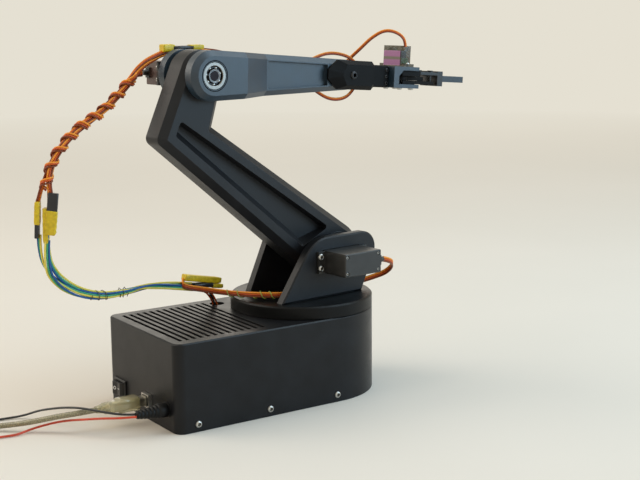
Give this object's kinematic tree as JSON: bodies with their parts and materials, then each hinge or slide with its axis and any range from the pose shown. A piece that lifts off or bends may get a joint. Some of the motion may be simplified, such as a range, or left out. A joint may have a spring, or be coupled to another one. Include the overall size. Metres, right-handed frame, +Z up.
{
  "type": "desktop robot arm",
  "caption": "Desktop robot arm: D-shaped vented base, turntable, cranked upper arm, tapering forearm, pitch and roll wrist, and a geared parallel gripper driven by hobby servos.",
  "frame": {"origin": "on the table under the waist axis, at the centre of the turntable", "axes": "+X from the waist axis to the round end of the base, away from the rear connectors; +Z up along the waist axis; the shoulder servo is on the -Y side"},
  "size_m": [0.5278, 0.1383, 0.3092],
  "materials": {
    "black_print": "satin printed plastic",
    "servo_black": "satin moulded",
    "servo_brown": "satin moulded",
    "servo_clear": "smoky clear moulded",
    "steel": "bright",
    "horn": "satin",
    "board": "lacquered board",
    "switch_plastic": "satin moulded",
    "clear_plastic": "clear vinyl over braid",
    "wire_black": "vinyl sleeve",
    "wire_red": "vinyl sleeve",
    "wire_orange": "vinyl ribbon",
    "wire_blue": "vinyl ribbon",
    "connector_yellow": "tape over moulded connectors"
  },
  "bodies": {
    "base": {"base_shell": "black_print", "base_plate": "black_print", "base_side_screws": "steel", "waist_servo": "servo_black", "waist_servo_screws": "steel", "controller_board": "board", "usb_socket": "steel", "power_jack": "switch_plastic", "switch_body": "switch_plastic", "usb_plug": "clear_plastic", "usb_cable": "clear_plastic", "usb_far_plug": "clear_plastic", "power_plug": "switch_plastic", "power_lead_black": "wire_black", "power_lead_red": "wire_red", "harness_tail": "wire_orange"},
    "rocker": {"switch_rocker": "switch_plastic"},
    "turntable": {"turntable_disc": "black_print", "waist_horn": "horn", "near_cheek": "black_print", "far_cheek": "black_print", "shoulder_servo": "servo_black", "shoulder_servo_screws": "steel", "shoulder_bearing": "steel", "shoulder_cable": "wire_orange", "harness_lower": "wire_blue"},
    "upper_arm": {"upper_arm": "black_print", "shoulder_horn": "horn", "shoulder_axle": "steel", "elbow_axle": "steel", "elbow_bearing_inner": "steel", "elbow_horn": "horn", "harness_upper": "wire_orange", "harness_plugs": "connector_yellow"},
    "forearm": {"forearm": "black_print", "elbow_bearing": "steel", "elbow_servo": "servo_brown", "elbow_servo_screws": "steel", "wrist_pitch_servo": "servo_black", "wrist_cable_top": "wire_orange", "wrist_cable_low": "wire_orange"},
    "wrist": {"wrist_fork": "black_print", "wrist_pivot_screw": "steel", "wrist_pitch_horn": "horn", "roll_housing": "black_print", "wrist_roll_servo": "servo_black", "housing_screws": "steel", "gripper_cable": "wire_orange"},
    "gripper_head": {"gripper_bracket": "black_print", "roll_horn": "horn", "gripper_servo": "servo_clear", "gripper_servo_screws": "steel", "gripper_bolts": "steel"},
    "gear_arm_near": {"gear_arm_near": "black_print"},
    "gear_arm_far": {"gear_arm_far": "black_print"},
    "link_near": {"link_near": "black_print"},
    "link_far": {"link_far": "black_print"},
    "finger_near": {"finger_near": "black_print"},
    "finger_far": {"finger_far": "black_print"}
  },
  "joints": [
    {"name": "waist", "type": "hinge", "parent": "base", "child": "turntable", "pos_m": [0, 0, 0.073], "axis": [0, 0, 1], "range_deg": [-95, 84], "deforming": ["harness_tail", "shoulder_cable"]},
    {"name": "shoulder", "type": "hinge", "parent": "turntable", "child": "upper_arm", "pos_m": [0.02986, 0.00287, 0.115], "axis": [-0.0958, 0.9954, 0], "range_deg": [-20, 60], "deforming": ["harness_lower"]},
    {"name": "elbow", "type": "hinge", "parent": "upper_arm", "child": "forearm", "pos_m": [-0.10551, -0.01016, 0.277], "axis": [-0.0958, 0.9954, 0], "range_deg": [-60, 22], "deforming": ["harness_upper"]},
    {"name": "wrist_pitch", "type": "hinge", "parent": "forearm", "child": "wrist", "pos_m": [0.04369, 0.00421, 0.27124], "axis": [0.0958, -0.9954, 0], "range_deg": [-60, 60], "deforming": ["wrist_cable_top", "wrist_cable_low"]},
    {"name": "wrist_roll", "type": "hinge", "parent": "wrist", "child": "gripper_head", "pos_m": [0.09496, 0.00914, 0.26746], "axis": [0.9927, 0.0956, -0.0732], "range_deg": [-90, 90], "deforming": ["gripper_cable"]},
    {"name": "grip", "type": "hinge", "parent": "gripper_head", "child": "gear_arm_near", "pos_m": [0.10987, 0.00154, 0.26642], "axis": [-0.0729, -0.007, -0.9973], "range_deg": [-3, 45]},
    {"name": "gear_far_turn", "type": "hinge", "parent": "gripper_head", "child": "gear_arm_far", "pos_m": [0.10815, 0.01946, 0.26642], "axis": [0.0729, 0.007, 0.9973], "range_deg": [-3, 45]},
    {"name": "link_near_turn", "type": "hinge", "parent": "gripper_head", "child": "link_near", "pos_m": [0.12242, 0.00124, 0.26551], "axis": [-0.0729, -0.007, -0.9973], "range_deg": [-3, 45]},
    {"name": "link_far_turn", "type": "hinge", "parent": "gripper_head", "child": "link_far", "pos_m": [0.12041, 0.02214, 0.26551], "axis": [0.0729, 0.007, 0.9973], "range_deg": [-3, 45]},
    {"name": "finger_near_turn", "type": "hinge", "parent": "gear_arm_near", "child": "finger_near", "pos_m": [0.13616, 0.00737, 0.26446], "axis": [0.0729, 0.007, 0.9973], "range_deg": [-3, 45]},
    {"name": "finger_far_turn", "type": "hinge", "parent": "gear_arm_far", "child": "finger_far", "pos_m": [0.13506, 0.01874, 0.26446], "axis": [-0.0729, -0.007, -0.9973], "range_deg": [-3, 45]},
    {"name": "power_switch", "type": "hinge", "parent": "base", "child": "rocker", "pos_m": [-0.156, 0.039, 0.015], "axis": [0, 0, -1], "range_deg": [0, 20]}
  ],
  "couplings": [
    {"joint": "gear_far_turn", "follows": "grip", "ratio": 1},
    {"joint": "link_near_turn", "follows": "grip", "ratio": 1},
    {"joint": "link_far_turn", "follows": "grip", "ratio": 1},
    {"joint": "finger_near_turn", "follows": "grip", "ratio": 1},
    {"joint": "finger_far_turn", "follows": "grip", "ratio": 1}
  ]
}
